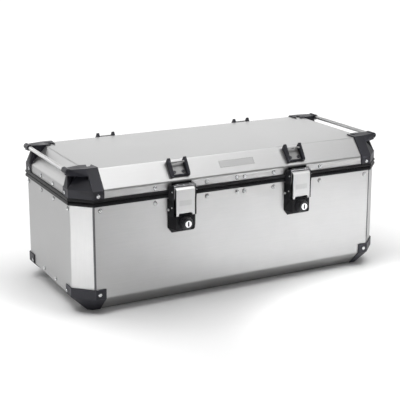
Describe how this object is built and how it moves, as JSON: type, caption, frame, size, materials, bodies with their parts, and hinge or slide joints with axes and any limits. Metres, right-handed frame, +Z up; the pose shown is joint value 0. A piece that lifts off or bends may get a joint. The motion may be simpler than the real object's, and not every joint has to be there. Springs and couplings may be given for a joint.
{
  "type": "top case",
  "caption": "Aluminium motorcycle top case with black plastic corners, a hinged lid, two keyed draw latches, end bars and strap tie-downs.",
  "frame": {"origin": "centre of the floor's underside, which rests on a surface", "axes": "+Z up, X along the case's length, the latched front faces -Y"},
  "size_m": [0.8744, 0.445, 0.3542],
  "materials": {
    "panel_aluminium": "lightly brushed anodised sheet",
    "bar_aluminium": "satin round bar",
    "lever_aluminium": "satin",
    "lock_metal": "polished",
    "black_plastic": "fine satin grain",
    "rim_black": "satin black",
    "seal_rubber": "matte",
    "steel": "zinc plated, satin"
  },
  "bodies": {
    "case": {"main_shell": "panel_aluminium", "left_end_shell": "panel_aluminium", "right_end_shell": "panel_aluminium", "body_rim": "rim_black", "rim_gasket": "seal_rubber", "bottom_cap_front_left": "black_plastic", "bottom_cap_front_right": "black_plastic", "bottom_cap_rear_left": "black_plastic", "bottom_cap_rear_right": "black_plastic", "latch_housing_left": "black_plastic", "latch_housing_right": "black_plastic", "hinge_body_leaf_left": "steel", "hinge_body_leaf_right": "steel", "hinge_pin_left": "steel", "hinge_pin_right": "steel"},
    "lid": {"lid_shell": "panel_aluminium", "lid_rim": "rim_black", "lid_cap_front_left": "black_plastic", "lid_cap_front_right": "black_plastic", "lid_cap_rear_left": "black_plastic", "lid_cap_rear_right": "black_plastic", "end_bar_left": "bar_aluminium", "end_bar_right": "bar_aluminium", "tie_bracket_front_left": "black_plastic", "tie_bracket_front_right": "black_plastic", "tie_bracket_rear_left": "black_plastic", "tie_bracket_rear_right": "black_plastic", "tie_bar_front_left": "steel", "tie_bar_front_right": "steel", "tie_bar_rear_left": "steel", "tie_bar_rear_right": "steel", "tie_plate_front_left": "steel", "tie_plate_front_right": "steel", "tie_plate_rear_left": "steel", "tie_plate_rear_right": "steel", "lid_catch_left": "black_plastic", "lid_catch_right": "black_plastic", "hinge_lid_leaf_left": "steel", "hinge_lid_leaf_right": "steel"},
    "lever_left": {"latch_lever_left": "lever_aluminium", "lever_pin_left": "steel", "hook_pin_left": "steel"},
    "hook_left": {"latch_hook_left": "steel"},
    "knob_left": {"lock_knob_left": "black_plastic", "lock_cam_left": "steel"},
    "key_left": {"key_cylinder_left": "lock_metal"},
    "lever_right": {"latch_lever_right": "lever_aluminium", "lever_pin_right": "steel", "hook_pin_right": "steel"},
    "hook_right": {"latch_hook_right": "steel"},
    "knob_right": {"lock_knob_right": "black_plastic", "lock_cam_right": "steel"},
    "key_right": {"key_cylinder_right": "lock_metal"}
  },
  "joints": [
    {"name": "lid_hinge", "type": "hinge", "parent": "case", "child": "lid", "pos_m": [0, 0.2075, 0.2751], "axis": [-1, 0, 0], "range_deg": [0, 95]},
    {"name": "lever_left_open", "type": "hinge", "parent": "case", "child": "lever_left", "pos_m": [-0.1625, -0.2105, 0.2855], "axis": [-1, 0, 0], "range_deg": [0, 100]},
    {"name": "hook_left_swing", "type": "hinge", "parent": "lever_left", "child": "hook_left", "pos_m": [-0.1625, -0.2105, 0.2655], "axis": [1, 0, 0], "range_deg": [0, 100]},
    {"name": "knob_left_turn", "type": "hinge", "parent": "case", "child": "knob_left", "pos_m": [-0.1625, -0.2178, 0.2045], "axis": [0, 1, 0], "range_deg": [0, 90]},
    {"name": "key_left_turn", "type": "hinge", "parent": "knob_left", "child": "key_left", "pos_m": [-0.1625, -0.233, 0.2045], "axis": [0, 1, 0], "range_deg": [0, 90]},
    {"name": "lever_right_open", "type": "hinge", "parent": "case", "child": "lever_right", "pos_m": [0.1625, -0.2105, 0.2855], "axis": [-1, 0, 0], "range_deg": [0, 100]},
    {"name": "hook_right_swing", "type": "hinge", "parent": "lever_right", "child": "hook_right", "pos_m": [0.1625, -0.2105, 0.2655], "axis": [1, 0, 0], "range_deg": [0, 100]},
    {"name": "knob_right_turn", "type": "hinge", "parent": "case", "child": "knob_right", "pos_m": [0.1625, -0.2178, 0.2045], "axis": [0, 1, 0], "range_deg": [0, 90]},
    {"name": "key_right_turn", "type": "hinge", "parent": "knob_right", "child": "key_right", "pos_m": [0.1625, -0.233, 0.2045], "axis": [0, 1, 0], "range_deg": [0, 90]}
  ],
  "couplings": [
    {"joint": "hook_left_swing", "follows": "lever_left_open", "ratio": 1},
    {"joint": "hook_right_swing", "follows": "lever_right_open", "ratio": 1}
  ]
}
